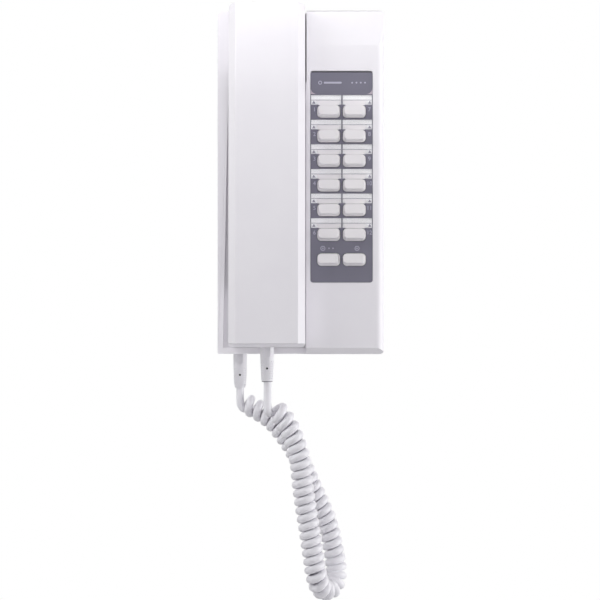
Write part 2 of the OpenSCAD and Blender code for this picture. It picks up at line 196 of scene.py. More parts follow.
metals = {  # colour, tarnish, roughness, direction of the brushing
    "screwSteel": ("c9cbce", "8d9095", 0.30, (400, 400, 60)),
    "springSteel": ("b4b8bd", "7c8086", 0.26, (900, 900, 200)),
    "sheetIron": ("8b8c90", "5f5d5c", 0.48, (60, 60, 900)),
    "castBallast": ("77797d", "525357", 0.60, (150, 150, 150)),
    "contactBrass": ("c9a558", "8a6a30", 0.32, (300, 300, 80)),
    "capsuleSteel": ("c2c3c6", "86888c", 0.34, (250, 250, 250)),
}


def workedMetal(name):
    colour, tarnish, roughness, scales = metals[name]
    material, place, feed = newMaterial(name, {"Metallic": 1.0})
    brushed = noise(stretched(place, scales), 4, 4, 0.65)
    spots = noise(place, 160, 5, 0.7)
    feed("Base Color", (spots * 0.6 + brushed * 0.4).blend(shade(colour), shade(tarnish)))
    feed("Roughness", roughness + (brushed - 0.5) * 0.25)
    feed("Normal", bump(brushed, 0.25, 0.04))
    return material


def circuitBoard():
    material, place, feed = newMaterial("circuitBoard", {"Coat Weight": 0.3, "Coat Roughness": 0.2})
    tracks = place.make("ShaderNodeTexBrick", {"offset": 0.37, "offset_frequency": 2},
                        {"Vector": place.make("ShaderNodeMapping", None,
                                              {"Vector": place, "Rotation": (math.radians(90), 0, 0)}),
                         "Scale": 260.0, "Mortar Size": 0.09, "Brick Width": 1.7, "Row Height": 0.6}, out=1)
    weave = noise(place, 700, 2)
    pads = place.make("ShaderNodeTexVoronoi", {"feature": "F1"}, {"Vector": place, "Scale": 190.0}) < 0.16
    board = (weave * 0.5).blend(shade("2f6b45"), shade("26563a"))
    tracked = (tracks * 0.55).blend(board, shade("4f8f63"))
    feed("Base Color", pads.blend(tracked, shade("b9bcbd")))
    feed("Roughness", 0.42 + weave * 0.1 - pads * 0.15)
    feed("Normal", bump(tracks + pads * 1.5, 0.4, 0.05))
    return material


def ribbonCable():
    material, place, feed = newMaterial("ribbonCable")
    lanes = place.make("ShaderNodeTexWave", {"wave_type": "BANDS", "bands_direction": "Z"},
                       {"Vector": place, "Scale": 250.0, "Distortion": 0.0})
    fuzz = noise(place, 900, 2)
    feed("Base Color", (lanes * 0.6 + fuzz * 0.2).blend(shade("8f9298"), shade("c4c6ca")))
    feed("Roughness", 0.45 + fuzz * 0.15)
    feed("Normal", bump(lanes, 0.8, 0.3))
    return material


def softFoam():
    material, place, feed = newMaterial("softFoam")
    cells = place.make("ShaderNodeTexVoronoi", {"feature": "SMOOTH_F1"}, {"Vector": place, "Scale": 1800.0})
    feed("Base Color", cells.blend(shade("232326"), shade("4a4a4f")))
    feed("Roughness", 0.85 + cells * 0.1)
    feed("Normal", bump(cells, 0.9, 0.3))
    return material


def cardPaper():
    # the faint emission is a painted glow that makes the cards look brighter
    material, place, feed = newMaterial("cardPaper", {"Specular IOR Level": 0.3, "Emission Strength": 0.10,
                                                      "Emission Color": (1, 1, 1, 1)})
    fibres = noise(stretched(place, (1, 1, 3)), 900, 4, 0.7)
    clouds = noise(place, 140, 3)
    feed("Base Color", (fibres * 0.6 + clouds * 0.4).blend(shade("ffffff"), shade("f6f5fa")))
    feed("Roughness", 0.6 + fibres * 0.15)
    feed("Normal", bump(fibres, 0.15, 0.05))
    return material


def clearCover():
    material, place, feed = newMaterial("clearCover", {"IOR": 1.49})
    haze = noise(place, 300, 3)
    feed("Base Color", haze.blend(shade("ffffff"), shade("f4f6fa")))
    feed("Alpha", 0.02 + haze * 0.03)
    feed("Roughness", 0.08 + haze * 0.08)
    return material


finishes = {name: mouldedPlastic(name) for name in plastics}
finishes.update({name: workedMetal(name) for name in metals})
finishes.update({"circuitBoard": circuitBoard(), "ribbonCable": ribbonCable(), "softFoam": softFoam(),
                 "cardPaper": cardPaper(), "clearCover": clearCover()})


def paint(piece, *names):
    piece.data.materials.clear()
    for name in names:
        piece.data.materials.append(finishes[name])


nodeFinish = {
    "front_cover": "coverPlastic", "rear_cover": "rearPlastic", "label_panel": "labelPlastic",
    "name_cards": "cardPaper", "card_windows": "clearCover", "key_board": "circuitBoard",
    "key_switches": "blackPlastic", "key_springs": "springSteel", "key_board_screws": "screwSteel",
    "ribbon_cable": "ribbonCable", "main_board": "circuitBoard", "board_screws": "screwSteel",
    "line_transformer": "sheetIron", "capacitors": "blackPlastic", "control_chips": "blackPlastic",
    "terminal_block": "terminalPlastic", "terminal_screws": "contactBrass", "call_sounder": "blackPlastic",
    "hook_switch": "blackPlastic", "hook_spring": "springSteel", "hook_plunger": "keyPlastic",
    "case_screws": "screwSteel", "base_boot": "bootPlastic", "cord_tail_base": "cordPlastic",
    "cord_coil": "cordPlastic", "cord_tail_handset": "cordPlastic", "handset_front": "handsetPlastic",
    "handset_rear": "handsetPlastic", "ear_cap": "handsetPlastic", "mouth_cap": "handsetPlastic",
    "receiver": "capsuleSteel", "receiver_ring": "softFoam", "microphone": "capsuleSteel",
    "microphone_seat": "softFoam", "ballast_bar": "castBallast", "handset_screws": "screwSteel",
    "handset_boot": "bootPlastic"}
for node, piece in frame["nodes"].items():
    paint(piece, nodeFinish.get(node, "keyPlastic"))
print("finishes made:", len(finishes))


# modelling helpers
def activate(piece):
    bpy.ops.object.select_all(action="DESELECT")
    piece.select_set(True)
    bpy.context.view_layer.objects.active = piece


def settle(piece, name):  # names a new primitive and puts its place in its mesh
    piece.name = name
    piece.data.name = name
    activate(piece)
    bpy.ops.object.transform_apply(location=True, rotation=True, scale=True)
    return piece


def block(name, low, high):
    bpy.ops.object.select_all(action="DESELECT")
    middle = [(a + b) / 2 * mm for a, b in zip(low, high)]
    bpy.ops.mesh.primitive_cube_add(size=1, location=middle)
    piece = bpy.context.object
    piece.scale = [abs(b - a) * mm for a, b in zip(low, high)]
    return settle(piece, name)


def rod(name, radius, start, end, sides=48, tip=None):  # a cylinder or cone from start to end
    bpy.ops.object.select_all(action="DESELECT")
    a, b = Vector(start) * mm, Vector(end) * mm
    turn = (b - a).to_track_quat("Z", "Y").to_euler()
    bpy.ops.mesh.primitive_cone_add(vertices=sides, radius1=radius * mm, location=(a + b) / 2, rotation=turn,
                                    radius2=(radius if tip is None else tip) * mm, depth=(b - a).length)
    return settle(bpy.context.object, name)


def pick(piece, kind, test):  # opens the piece with only the faces or edges that pass the test selected
    activate(piece)
    bpy.ops.object.mode_set(mode="EDIT")
    bpy.ops.mesh.select_mode(type=kind)
    bpy.ops.mesh.select_all(action="DESELECT")
    bpy.ops.object.mode_set(mode="OBJECT")
    points = piece.data.vertices
    if kind == "FACE":
        for face in piece.data.polygons:
            face.select = test(face.center / mm, face.normal)
    else:
        for edge in piece.data.edges:
            a, b = (points[i].co for i in edge.vertices)
            edge.select = test((a + b) / 2 / mm, (b - a).normalized())
    bpy.ops.object.mode_set(mode="EDIT")


def done():
    bpy.ops.object.mode_set(mode="OBJECT")


def bevelEdges(piece, test, width, segments=4):
    pick(piece, "EDGE", test)
    bpy.ops.mesh.bevel(offset=width * mm, segments=segments, affect="EDGES", clamp_overlap=True)
    done()


def trim(piece, point, normal, fill=True):  # cuts away what lies on the side the normal points to
    activate(piece)
    bpy.ops.object.mode_set(mode="EDIT")
    bpy.ops.mesh.select_all(action="SELECT")
    bpy.ops.mesh.bisect(plane_co=Vector(point) * mm, plane_no=Vector(normal).normalized(), use_fill=fill,
                        clear_outer=True)
    done()


def combine(piece, operation, *tools):
    for tool in tools:
        modifier = piece.modifiers.new("combine", "BOOLEAN")
        modifier.operation = operation
        modifier.solver = "EXACT"
        modifier.object = tool
        activate(piece)
        bpy.ops.object.modifier_apply(modifier="combine")
        bpy.data.objects.remove(tool)
    return piece


def cut(piece, *tools):
    return combine(piece, "DIFFERENCE", *tools)


def finishFaces(piece, index, test):  # gives the faces that pass the test another of the piece's finishes
    pick(piece, "FACE", test)
    piece.active_material_index = index
    bpy.ops.object.material_slot_assign()
    done()


def soften(piece, width, segments=3, angle=28):  # less wherever short edges clamp it
    activate(piece)
    bevel = piece.modifiers.new("soften", "BEVEL")
    bevel.width = width * mm
    bevel.segments = segments
    bevel.limit_method = "ANGLE"
    bevel.angle_limit = math.radians(angle)
    bevel.miter_outer = "MITER_ARC"
    bpy.ops.object.modifier_apply(modifier="soften")
    return smooth(piece)


def smooth(piece, angle=40):
    activate(piece)
    bpy.ops.object.shade_smooth_by_angle(angle=math.radians(angle))
    weights = piece.modifiers.new("weights", "WEIGHTED_NORMAL")
    weights.keep_sharp = True
    bpy.ops.object.modifier_apply(modifier="weights")
    return piece


def join(name, *parts):
    bpy.ops.object.select_all(action="DESELECT")
    for part in parts:
        part.select_set(True)
    bpy.context.view_layer.objects.active = parts[0]
    bpy.ops.object.join()
    parts[0].name = name
    parts[0].data.name = name
    return parts[0]


def copied(piece, name, shift=(0, 0, 0)):  # a copy with a mesh of its own
    twin = piece.copy()
    twin.data = piece.data.copy()
    bpy.context.scene.collection.objects.link(twin)
    twin.location = Vector(shift) * mm
    return settle(twin, name)


def roundedBlock(name, low, high, radius, segments=6):  # corners round as seen from the front
    piece = block(name, low, high)
    bevelEdges(piece, lambda mid, way: abs(way.y) > 0.9, radius, segments)
    return piece


def fit(piece, body, slot, *nodes):
    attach(piece, body)
    if nodes:
        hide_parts(*nodes)


# a CAD piece with its edges eased, as far as the mesh's short edges allow
def refined(node, name, width, segments=2, angle=30, reshape=None):
    piece = frame["nodes"][node].copy()
    piece.data = piece.data.copy()
    piece.parent = None
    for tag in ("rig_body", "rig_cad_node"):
        if tag in piece:
            del piece[tag]
    bpy.context.scene.collection.objects.link(piece)
    piece.name = name
    piece.data.name = name
    activate(piece)
    bpy.ops.object.mode_set(mode="EDIT")
    bpy.ops.mesh.select_all(action="SELECT")
    bpy.ops.mesh.remove_doubles(threshold=0.004 * mm)
    bpy.ops.mesh.dissolve_limited(angle_limit=math.radians(1))
    done()
    if reshape:
        reshape(piece)
    bpy.ops.object.select_all(action="DESELECT")
    return soften(piece, width, segments, angle)


# cord
cord = {
    "wire": 5.2, "coilRadius": 4.65, "pitch": 5.5, "looseAtEnds": 0.2, "looseLength": 20,
    "sides": 12, "ringsPerTurn": 16, "startPhase": 270, "endPhase": 190, "routeSteps": 24, "tailSteps": 6,
    "baseTail": [(-40.2, -18, -135.5), (-40.2, -18, -139.5), (-40.2, -17.9, -143.5), (-39.6, -17.6, -147),
                 (-38, -16.9, -149.3), (-36, -15.9, -149)],
    "route": [(-36, -19.6, -146), (-32.7, -20.5, -147.6), (-26.9, -22, -150.7), (-21.6, -23.3, -153.9),
              (-17.1, -24, -157.9), (-13.1, -24.3, -162.6), (-9.6, -24.4, -167.2), (-6.1, -24.4, -172.2),
              (-1.5, -24.4, -180.5), (2.7, -24.4, -190), (7.1, -24.3, -200), (11.5, -24.2, -210),
              (15.8, -24, -219.6), (18.9, -24, -229.2), (21.2, -24, -240), (22.9, -24, -250),
              (23.4, -25, -257), (22.3, -28, -262.6), (19.8, -31.8, -265.8), (16.6, -36, -266.6),
              (13.5, -40.4, -264.4), (11.2, -44, -259.6), (9.8, -45.7, -254), (8.9, -46, -248),
              (7.4, -46, -237.5), (5.2, -46, -223), (3.4, -46, -212), (2.1, -46, -203),
              (0.9, -46, -193.5), (0, -46, -183.5), (-1.4, -46, -176.3), (-3.2, -46, -169.9),
              (-5.5, -46, -163.8), (-8, -46, -158.6), (-11, -46, -153.8), (-14, -46, -150), (-17, -46, -147)],
    "handsetTail": [(-21.2, -49.8, -148.6), (-21.4, -49.8, -145.4), (-21.4, -48.8, -141.4),
                    (-21.4, -47.5, -137.4), (-21.4, -47, -133.6), (-21.4, -47, -130)],
}


def curveThrough(points, steps):  # a smooth curve through the points, in steps between each two
    ends = [points[0] * 2 - points[1]] + list(points) + [points[-1] * 2 - points[-2]]
    found = []
    for a, b, c, d in zip(ends, ends[1:], ends[2:], ends[3:]):
        for i in range(steps):
            t = i / steps
            found.append(0.5 * (2 * b + (c - a) * t + (2 * a - 5 * b + 4 * c - d) * t ** 2
                                + (3 * b - a - 3 * c + d) * t ** 3))
    return found + [Vector(points[-1])]


def coilTurns():  # centres of the wire along the coiled length
    axis = curveThrough([Vector(p) for p in cord["route"]], cord["routeSteps"])
    along = [0]
    for a, b in zip(axis, axis[1:]):
        along.append(along[-1] + (b - a).length)
    length = along[-1]

    def turnsTo(s):  # the turns open a little towards both ends
        loose = cord["looseLength"]
        spread = cord["looseAtEnds"] * loose * (1 - math.exp(-s / loose) + math.exp((s - length) / loose)
                                                - math.exp(-length / loose))
        return (s - spread) / cord["pitch"]

    ways = [(b - a).normalized() for a, b in zip(axis, axis[1:])]
    ways.append(ways[-1])
    up = Vector((0, 0, 1)) - ways[0] * ways[0].z
    ups = [up.normalized()]
    for a, b in zip(ways, ways[1:]):
        ups.append((a.rotation_difference(b) @ ups[-1]).normalized())
    endUp = (Vector((0, 0, 1)) - ways[-1] * ways[-1].z).normalized()
    twist = math.degrees(math.atan2(endUp.dot(ways[-1].cross(ups[-1])), endUp.dot(ups[-1])))
    wanted = cord["endPhase"] + twist - cord["startPhase"]
    whole = turnsTo(length)
    turns = round(whole - wanted / 360) + wanted / 360
    rings = round(turns * cord["ringsPerTurn"])
    found = []
    k = 0
    for i in range(rings + 1):
        target = i / rings * whole
        while k < len(along) - 2 and turnsTo(along[k + 1]) < target:
            k += 1
        first, last = turnsTo(along[k]), turnsTo(along[k + 1])
        share = min(1, max(0, (target - first) / (last - first)))
        centre = axis[k].lerp(axis[k + 1], share)
        side = ups[k].lerp(ups[k + 1], share).normalized()
        way = ways[k].lerp(ways[k + 1], share).normalized()
        angle = math.radians(cord["startPhase"] + i / rings * turns * 360)
        out = math.cos(angle) * side + math.sin(angle) * way.cross(side)
        found.append(centre + cord["coilRadius"] * out)
    return found, turns


def makeCord():
    coil, turns = coilTurns()
    skip = cord["ringsPerTurn"] // 8
    steps = cord["tailSteps"]
    start = curveThrough([Vector(p) for p in cord["baseTail"]] + coil[0:3 * skip:skip], steps)[:-2 * steps]
    end = curveThrough(coil[-1 - 2 * skip::skip] + [Vector(p) for p in cord["handsetTail"]], steps)[2 * steps:]
    centres = [p * mm for p in start + coil[1:-1] + end]
    length = sum((b - a).length for a, b in zip(centres, centres[1:]))
    radius = cord["wire"] / 2 * mm
    sides = cord["sides"]
    ways = [(b - a).normalized() for a, b in zip(centres, centres[1:])]
    ways = [ways[0]] + [(a + b).normalized() for a, b in zip(ways, ways[1:])] + [ways[-1]]
    side = ways[0].orthogonal().normalized()
    points = []
    for centre, way, before in zip(centres, ways, [ways[0]] + ways):
        side = before.rotation_difference(way) @ side
        other = way.cross(side)
        for k in range(sides):
            angle = math.tau * k / sides
            points.append(centre + radius * (math.cos(angle) * side + math.sin(angle) * other))
    faces = []
    for i in range(len(centres) - 1):
        for k in range(sides):
            after = (k + 1) % sides
            faces.append([i * sides + k, i * sides + after, (i + 1) * sides + after, (i + 1) * sides + k])
    faces.append(list(range(sides))[::-1])
    faces.append([len(points) - sides + k for k in range(sides)])
    mesh = bpy.data.meshes.new("curlyCord")
    mesh.from_pydata(points, [], faces)
    mesh.update()
    piece = bpy.data.objects.new("curlyCord", mesh)
    bpy.context.scene.collection.objects.link(piece)
    smooth(piece, 60)
    paint(piece, "cordPlastic")
    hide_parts("cord_tail_base", "cord_coil", "cord_tail_handset")
    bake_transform(piece)
    weights = []  # a weight for each ring by how far along the cord it is, not used further
    covered = 0
    for i, centre in enumerate(centres):
        covered += (centre - centres[i - 1]).length if i else 0
        share = covered / length
        weights += [share * share * (3 - 2 * share)] * sides
    print("cord made:", round(turns, 2), "turns,", round(length, 3), "m")


makeCord()


# covers
cover = {
    "sides": ((-54.5, 3.2, 1), (54.5, 2.6, 6)), "sideFrom": 24,  # where each side is, its bevel and segments
    "frontEdge": 0.45, "rearEdge": 0.35, "railLow": (3.1, -41.7, -108.3), "railHigh": (5, -23, 64),
    "railEdge": 0.3}


def rollSides(piece):  # short edges in the mesh clamp these bevels to about 0.02 mm
    for side, width, segments in cover["sides"]:
        bevelEdges(piece, lambda mid, way: abs(way.z) > 0.95 and mid.y < -cover["sideFrom"]
                   and abs(mid.x - side) < 0.05, width, segments)


frontCover = refined("front_cover", "frontCover", cover["frontEdge"], 3, reshape=rollSides)
rail = block("rail", cover["railLow"], cover["railHigh"])
soften(rail, cover["railEdge"], 3)
paint(rail, "coverPlastic")
frontCover = join("frontCover", frontCover, rail)
fit(frontCover, "base", "cover_plastic", "front_cover")
rearCover = refined("rear_cover", "rearCover", cover["rearEdge"])
fit(rearCover, "base", "rear_plastic", "rear_cover")
print("covers made")


# handset
handset = {
    "left": -46.25, "right": 2.85, "bottom": -107.5, "top": 114, "face": 66, "split": 48, "gap": 0.1,
    "bendFrom": 54, "bendTo": 66, "fall": 0.2, "bendSteps": 6,       # the front falls back above the bend
    "bevelWidth": 4.5, "bevelDepth": 8, "soft": 1.3, "cornerRound": 2.4,
    "grip": 42, "gripFrom": -60, "gripTo": 50, "ear": 24, "earFrom": 64, "mouth": 29.5, "mouthTo": -67,
    "chin": -104.8, "lipDepth": 57, "wall": 2, "toolLeft": -60, "toolRight": 20, "toolFront": 80,
    "toolEnd": 130, "holeBack": 10, "boot": 4.7, "bootDepth": 47, "bootReach": (2, 5),
    "earZ": 88, "earHole": 20.1, "earFloor": 1.25, "mouthZ": -85, "mouthHole": (12.1, 5.1), "mouthCorner": 2.1,
    "mouthFloor": 1.05, "screwZ": (44, -96.5), "screwHole": 3.4, "screwDepth": 46.2,
    "caps": (("ear_cap", "earCap", 0.25), ("mouth_cap", "mouthCap", 0.2))}


def handsetForm():
    h = handset
    form = block("handsetForm", (h["left"], -h["face"], h["bottom"]), (h["right"], -h["ear"], h["top"]))
    bevelEdges(form, lambda mid, way: abs(way.y) > 0.9, h["cornerRound"], 5)
    for i in range(h["bendSteps"] + 1):  # planes that follow the front down each side of the bend
        share = i / h["bendSteps"]
        z = h["bendFrom"] + (h["bendTo"] - h["bendFrom"]) * share
        fall = h["fall"] * share
        depth = h["face"] - fall * (z - h["bendFrom"]) / 2
        along = Vector((0, fall, 1))
        if i:
            trim(form, (h["left"], -depth, z), (0, -1, fall))
        for side, way in ((h["left"], 1), (h["right"], -1)):
            across = Vector((-way * h["bevelWidth"], h["bevelDepth"], 0))
            normal = along.cross(across) * way
            trim(form, (side + way * h["bevelWidth"], -depth, z), normal)
    left, right, end = h["toolLeft"], h["toolRight"], h["toolEnd"]
    gripTool = block("gripTool", (left, -h["grip"], -end), (right, 0, end))
    trim(gripTool, (0, -h["ear"], h["earFrom"]), (0, h["earFrom"] - h["gripTo"], h["grip"] - h["ear"]))
    trim(gripTool, (0, -h["mouth"], h["mouthTo"]),
          (0, h["gripFrom"] - h["mouthTo"], -(h["grip"] - h["mouth"])))
    mouthTool = block("mouthTool", (left, -h["mouth"], -end), (right, 0, h["gripFrom"]))
    chinTool = block("chinTool", (left, -h["toolFront"], -end), (right, -h["lipDepth"], h["chin"]))
    cut(form, gripTool, mouthTool, chinTool)
    return soften(form, h["soft"], 4, 20)


def half(form, name, depth, way):  # one half of the form as an open shell with a wall
    shell = copied(form, name)
    trim(shell, (0, -depth, 0), (0, way, 0), fill=False)
    activate(shell)
    wall = shell.modifiers.new("wall", "SOLIDIFY")
    wall.thickness = handset["wall"] * mm
    wall.offset = -1
    bpy.ops.object.modifier_apply(modifier="wall")
    return shell


def makeHandset():
    h = handset
    middle = (h["left"] + h["right"]) / 2
    form = handsetForm()
    front = half(form, "handsetFront", h["split"] + h["gap"], 1)
    rear = half(form, "handsetRear", h["split"] - h["gap"], -1)
    bpy.data.objects.remove(form)
    below, above = h["bootReach"]
    for shell in (front, rear):
        cut(shell, rod("bore", h["boot"], (middle, -h["bootDepth"], h["bottom"] - below),
                       (middle, -h["bootDepth"], h["bottom"] + above)))
    back = -h["holeBack"]
    across, up = h["mouthHole"]
    cut(rear, rod("earHole", h["earHole"], (middle, -h["ear"] - h["earFloor"], h["earZ"]),
                  (middle, back, h["earZ"]), 96),
        roundedBlock("mouthHole", (middle - across, -h["mouth"] - h["mouthFloor"], h["mouthZ"] - up),
                     (middle + across, back, h["mouthZ"] + up), h["mouthCorner"]))
    for z in h["screwZ"]:
        cut(rear, rod("screwHole", h["screwHole"], (middle, -h["screwDepth"], z), (middle, back, z), 40))
    for shell in (front, rear):
        smooth(shell, 35)
        paint(shell, "handsetPlastic")
    fit(front, "handset", "cover_plastic", "handset_front")
    fit(rear, "handset", "cover_plastic", "handset_rear")
    for node, name, width in h["caps"]:
        fit(refined(node, name, width), "handset", "cover_plastic", node)
    print("handset made")


makeHandset()


# keys
keys = {
    "foot": (14.8, 8.0), "footRadius": 2.6, "face": (13.1, 6.0), "faceDepth": 46.4, "lift": 0.65,
    "stem": 38.5, "ledge": 0.45, "ledgeDepth": 42.0, "edge": 0.28, "footEdge": 0.15,
    "columns": (18.2, 34.8), "topRow": 45.3, "rowPitch": 16, "rows": 6, "callRow": -50.9, "callShift": -0.6}


def makeKey(name, x, z, shift):
    k = keys
    w, t = k["foot"]
    key = block(name, (x - w / 2, -k["ledgeDepth"], z - t / 2), (x + w / 2, -k["stem"], z + t / 2))
    bevelEdges(key, lambda mid, way: abs(way.y) > 0.9, k["footRadius"], 6)
    pick(key, "FACE", lambda mid, out: out.y < -0.9)
    bpy.ops.mesh.inset(thickness=k["ledge"] * mm)
    step = Vector((shift, k["ledgeDepth"] - k["faceDepth"], k["lift"])) * mm
    bpy.ops.mesh.extrude_region_move(TRANSFORM_OT_translate={"value": step})
    narrower = (k["face"][0] / (w - 2 * k["ledge"]), 1, k["face"][1] / (t - 2 * k["ledge"]))
    bpy.ops.transform.resize(value=narrower, center_override=Vector((x, -k["ledgeDepth"], z)) * mm + step)
    done()
    bevelEdges(key, lambda mid, way: mid.y < -(k["faceDepth"] - 0.05) and abs(way.y) < 0.1, k["edge"], 3)
    bevelEdges(key, lambda mid, way: abs(mid.y + k["ledgeDepth"]) < 0.05 and abs(way.y) < 0.1
               and (abs(mid.x - x) > w / 2 - 0.05 or abs(mid.z - z) > t / 2 - 0.05), k["footEdge"], 2)
    smooth(key, 50)
    paint(key, "keyPlastic")
    return key


def makeKeys():
    k = keys
    for n in range(2 * k["rows"]):
        x = k["columns"][n // k["rows"]]
        z = k["topRow"] - (n % k["rows"]) * k["rowPitch"]
        key = makeKey("stationKey%d" % (n + 1), x, z, 0)
        fit(key, "station_key_%d" % (n + 1), "key_plastic", "station_key_%d" % (n + 1))
    for n, x in enumerate(k["columns"]):
        key = makeKey("callKey%d" % (n + 1), x, k["callRow"], k["callShift"])
        fit(key, "call_key_%d" % (n + 1), "key_plastic", "call_key_%d" % (n + 1))
    print("keys made")


makeKeys()


# label panel
panel = {
    "left": 6.3, "right": 46.7, "bottom": -65.8, "top": 71.6, "front": 41.6, "back": 40.4, "corner": 1.7,
    "topGap": 0.3, "shadeFrom": 70.55, "edge": 0.18, "opening": (15.4, 8.6), "openingRadius": 2.9,
    "holeFront": 44, "holeBack": 39, "pocketGap": 0.05,
    "cards": ((6.7, 26.4), (27.2, 46.3)), "cardTop": 56.0, "cardBottom": 49.75, "cardBack": 40.82,
    "cardFront": 41.0, "windowBack": 41.05, "line": (52.6, 52.95),
    "tabTop": 52.45, "tabBottom": 49.4, "tabFront": 42.0, "tabs": ((10.1, 26.2), (27.4, 43.1)), "tabNarrow": 1.5,
    "numbers": (8.9, 44.6), "numberZ": 45.4, "numberSize": 3.7, "triangles": (8.5, 44.8), "triangleZ": 51.0,
    "headerBottom": 56.6, "headerCorner": 4.2, "headerInset": 0.15, "ink": 0.03, "lineInset": 0.2}

marks = {  # a plain ring, bar and dots as the heading, and a push symbol over each call key
    "headingZ": 64, "ringX": 12.6, "ring": 1.0, "ringWidth": 0.5, "barX": (15, 26.6), "barZ": (63.4, 64.6),
    "barCorner": 0.55, "headingDots": (33.4, 36.2, 39, 41.8), "headingDot": 0.55,
    "symbolZ": -43.6, "symbolX": (14.4, 36.6), "symbolRing": 1.35, "symbolDots": (18.4, 21.0),
    "symbolDot": 0.5, "triangle": 1.25}


def rowShift(row):
    return -row * keys["rowPitch"]


def ink(piece, finish):  # a thin printed shape on the panel
    paint(piece, finish)
    fit(piece, "base", "label_plastic")


def number(words, x, z, size, depth):
    bpy.ops.object.select_all(action="DESELECT")
    bpy.ops.object.text_add(location=(x * mm, -depth * mm, z * mm), rotation=(math.radians(90), 0, 0))
    text = bpy.context.object
    text.data.body = words
    text.data.size = size * mm
    text.data.align_x = "CENTER"
    text.data.resolution_u = 4
    text.data.extrude = panel["ink"] * mm
    activate(text)
    bpy.ops.object.convert(target="MESH")
    return settle(bpy.context.object, "number")


def ring(x, z, radius, width, depth):
    bpy.ops.object.select_all(action="DESELECT")
    bpy.ops.mesh.primitive_torus_add(major_radius=radius * mm, minor_radius=width / 2 * mm, major_segments=40,
                                     minor_segments=8, location=(x * mm, -depth * mm, z * mm),
                                     rotation=(math.radians(90), 0, 0))
    piece = bpy.context.object
    piece.scale = (1, 1, 0.2)
    return settle(piece, "ring")


def dot(x, z, radius, depth):
    return rod("dot", radius, (x, -depth + 0.05, z), (x, -depth - panel["ink"], z), 24)


def makePlate():
    p = panel
    plate = roundedBlock("labelPanel", (p["left"], -p["front"], p["bottom"]),
                         (p["right"], -p["back"], p["top"] - p["topGap"]), p["corner"])
    holes = []
    places = [(x, keys["topRow"] + rowShift(row)) for x in keys["columns"] for row in range(keys["rows"])]
    places += [(x, keys["callRow"]) for x in keys["columns"]]
    w, t = p["opening"]
    for x, z in places:
        holes.append(roundedBlock("hole", (x - w / 2, -p["holeFront"], z - t / 2),
                                  (x + w / 2, -p["holeBack"], z + t / 2), p["openingRadius"], 5))
    gap = p["pocketGap"]
    for row in range(keys["rows"]):
        for low, high in p["cards"]:
            z = rowShift(row)
            holes.append(block("pocket", (low - gap, -p["holeFront"], p["cardBottom"] + z - gap),
                               (high + gap, -p["cardBack"] + 0.02, p["cardTop"] + z + gap)))
    cut(plate, join("holes", *holes))
    activate(plate)
    bpy.ops.object.mode_set(mode="EDIT")
    bpy.ops.mesh.select_all(action="SELECT")
    bpy.ops.mesh.bisect(plane_co=Vector((0, 0, p["shadeFrom"])) * mm, plane_no=(0, 0, 1))
    done()
    soften(plate, p["edge"], 2)
    paint(plate, "labelPlastic", "shadowPlastic")
    finishFaces(plate, 1, lambda mid, out: mid.z > p["shadeFrom"])
    fit(plate, "base", "label_plastic", "label_panel")


def makeCards():
    p = panel
    cards, lines, windows, tabs = [], [], [], []
    for row in range(keys["rows"]):
        z = rowShift(row)
        for (low, high), (tabLow, tabHigh) in zip(p["cards"], p["tabs"]):
            cards.append(block("card", (low, -p["cardFront"], p["cardBottom"] + z),
                               (high, -p["cardBack"], p["cardTop"] + z)))
            lines.append(block("line", (low + p["lineInset"], -p["cardFront"] - 0.02, p["line"][0] + z),
                               (high - p["lineInset"], -p["cardFront"] + 0.05, p["line"][1] + z)))
            windows.append(block("window", (low, -p["front"], p["cardBottom"] + z),
                                 (high, -p["windowBack"], p["cardTop"] + z)))
            tab = block("tab", (tabLow, -p["tabFront"], p["tabBottom"] + z),
                        (tabHigh, -p["front"], p["tabTop"] + z))
            pick(tab, "EDGE", lambda mid, way: mid.z < p["tabBottom"] + z + 0.1)
            wide = tabHigh - tabLow
            middle = Vector(((tabLow + tabHigh) / 2, -p["front"], p["tabBottom"] + z)) * mm
            bpy.ops.transform.resize(value=((wide - 2 * p["tabNarrow"]) / wide, 1, 1), center_override=middle)
            done()
            tabs.append(tab)
    for parts, name, finish, slot, nodes, edge in (
            (cards, "nameCards", "cardPaper", "card", ("name_cards",), 0.04),
            (lines, "cardLines", "printedGrey", "card", (), 0),
            (windows, "cardWindows", "clearCover", "clear_cover", ("card_windows",), 0.08),
            (tabs, "cardTabs", "keyPlastic", "key_plastic", (), 0.3)):
        piece = join(name, *parts)
        if edge:
            soften(piece, edge, 2)
        paint(piece, finish)
        fit(piece, "base", slot, *nodes)


def makeMarks():
    p, m = panel, marks
    front = p["front"] + 0.01
    width = m["ringWidth"]
    printed = []
    for n in range(2 * keys["rows"]):
        column = n // keys["rows"]
        z = p["numberZ"] + rowShift(n % keys["rows"])
        printed.append(number(str(n + 1), p["numbers"][column], z, p["numberSize"], front))
    printed.append(ring(m["ringX"], m["headingZ"], m["ring"], width, front))
    printed.append(roundedBlock("bar", (m["barX"][0], -front - p["ink"], m["barZ"][0]),
                                (m["barX"][1], -front + 0.05, m["barZ"][1]), m["barCorner"]))
    printed += [dot(x, m["headingZ"], m["headingDot"], front) for x in m["headingDots"]]
    for x in m["symbolX"]:
        printed.append(ring(x, m["symbolZ"], m["symbolRing"], width, front))
        printed.append(dot(x, m["symbolZ"], m["symbolDot"], front))
    printed += [dot(x, m["symbolZ"], m["symbolDot"], front) for x in m["symbolDots"]]
    ink(join("panelMarks", *printed), "printedMark")
    triangles = []
    for row in range(keys["rows"]):
        for x in p["triangles"]:
            z = p["triangleZ"] + rowShift(row)
            triangles.append(rod("triangle", m["triangle"], (x, -p["front"] + 0.05, z),
                                 (x, -front - p["ink"], z), 3))
    ink(join("rowTriangles", *triangles), "printedGrey")


